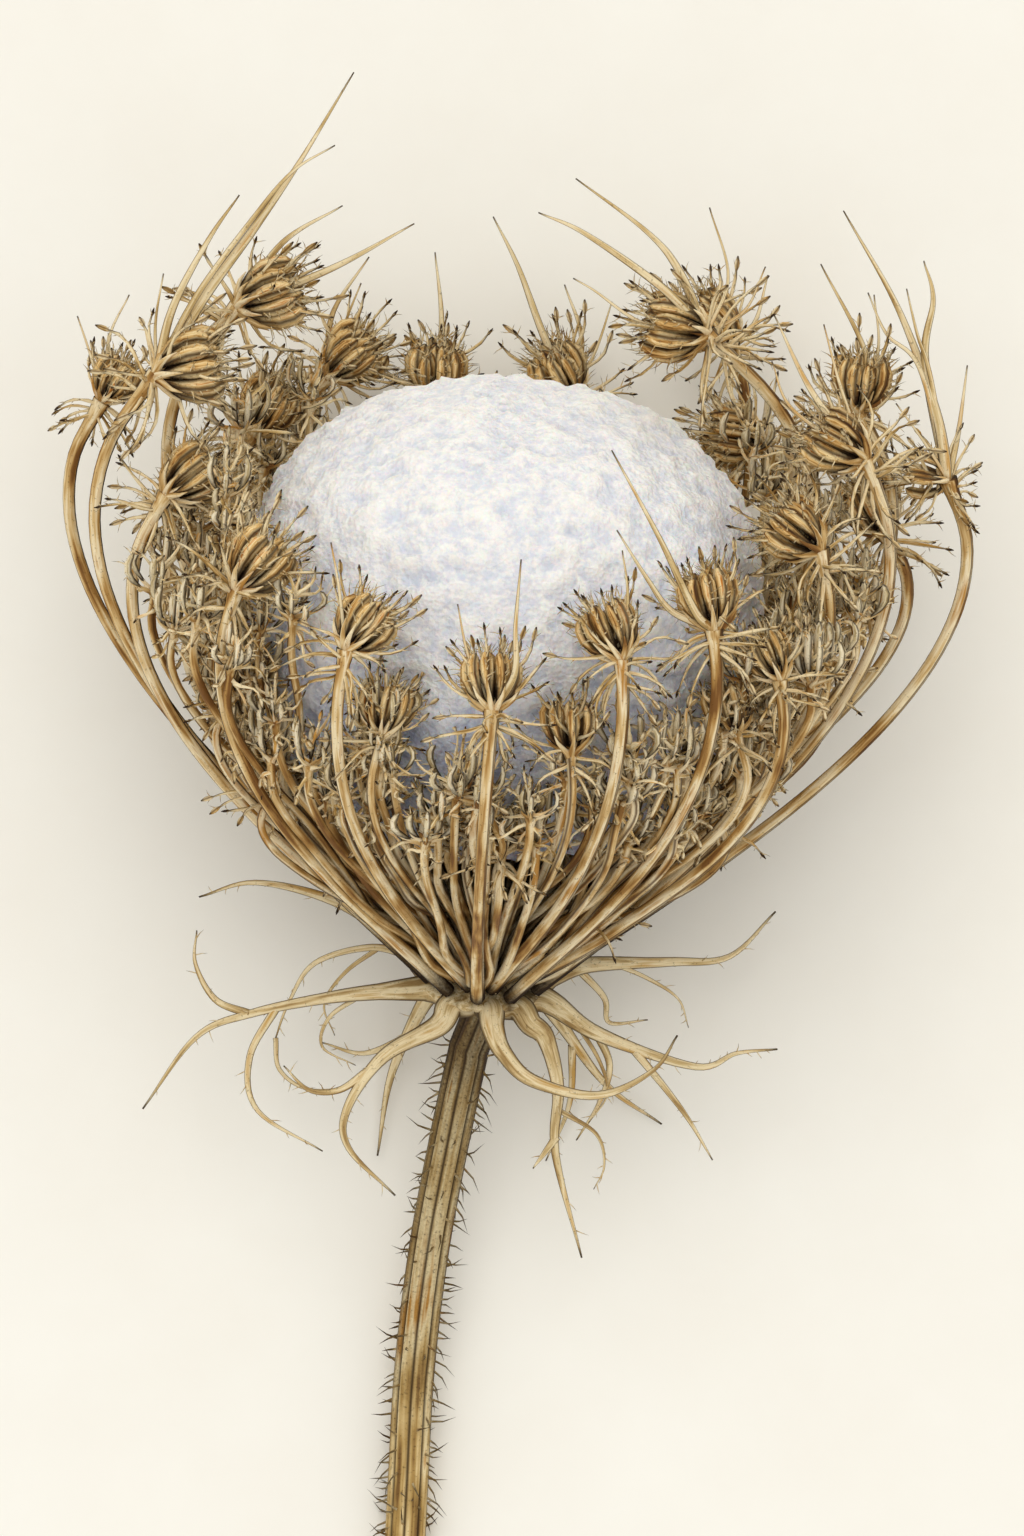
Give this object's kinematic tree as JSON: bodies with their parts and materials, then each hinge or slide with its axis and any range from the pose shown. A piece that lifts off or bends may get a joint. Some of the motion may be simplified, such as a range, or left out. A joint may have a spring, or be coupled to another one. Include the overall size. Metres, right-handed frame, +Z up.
{
  "type": "dried seed head",
  "caption": "Dried wild carrot seed head lying on its side: thin rays curve in to a cup of spiny fruit clusters round a ball of snow, over forked bracts and a ribbed, bristly cut stalk.",
  "frame": {"origin": "on the surface that the head lies on, at the middle of the flat spot of its lowest ray", "axes": "+Z up from that surface, +Y from the cut end of the stalk towards the mouth of the cup, +X to the right seen from above with the mouth away"},
  "size_m": [0.0686, 0.1128, 0.0546],
  "materials": {
    "dry_stalk": "matte",
    "dry_ray": "matte",
    "dry_bract": "matte",
    "snow": "matte"
  },
  "bodies": {
    "root": {"stalk": "dry_stalk", "bract_1": "dry_bract", "bract_2": "dry_bract", "bract_3": "dry_bract", "bract_4": "dry_bract", "bract_5": "dry_bract", "bract_6": "dry_bract", "bract_7": "dry_bract", "bract_8": "dry_bract", "bract_9": "dry_bract", "ray_01": "dry_ray", "ray_02": "dry_ray", "ray_03": "dry_ray", "ray_04": "dry_ray", "ray_05": "dry_ray", "ray_06": "dry_ray", "ray_07": "dry_ray", "ray_08": "dry_ray", "ray_09": "dry_ray", "ray_10": "dry_ray", "ray_11": "dry_ray", "ray_12": "dry_ray", "ray_13": "dry_ray", "ray_14": "dry_ray", "ray_15": "dry_ray", "ray_16": "dry_ray", "ray_17": "dry_ray", "ray_18": "dry_ray", "ray_19": "dry_ray", "ray_20": "dry_ray", "ray_21": "dry_ray", "ray_22": "dry_ray", "inner_ray_1_01": "dry_ray", "inner_ray_1_02": "dry_ray", "inner_ray_1_03": "dry_ray", "inner_ray_1_04": "dry_ray", "inner_ray_1_05": "dry_ray", "inner_ray_1_06": "dry_ray", "inner_ray_1_07": "dry_ray", "inner_ray_1_08": "dry_ray", "inner_ray_1_09": "dry_ray", "inner_ray_1_10": "dry_ray", "inner_ray_2_01": "dry_ray", "inner_ray_2_02": "dry_ray", "inner_ray_2_03": "dry_ray", "inner_ray_2_04": "dry_ray", "inner_ray_2_05": "dry_ray", "inner_ray_2_06": "dry_ray", "inner_ray_3_01": "dry_ray", "inner_ray_3_02": "dry_ray", "inner_ray_3_03": "dry_ray", "snow": "snow"}
  },
  "joints": []
}
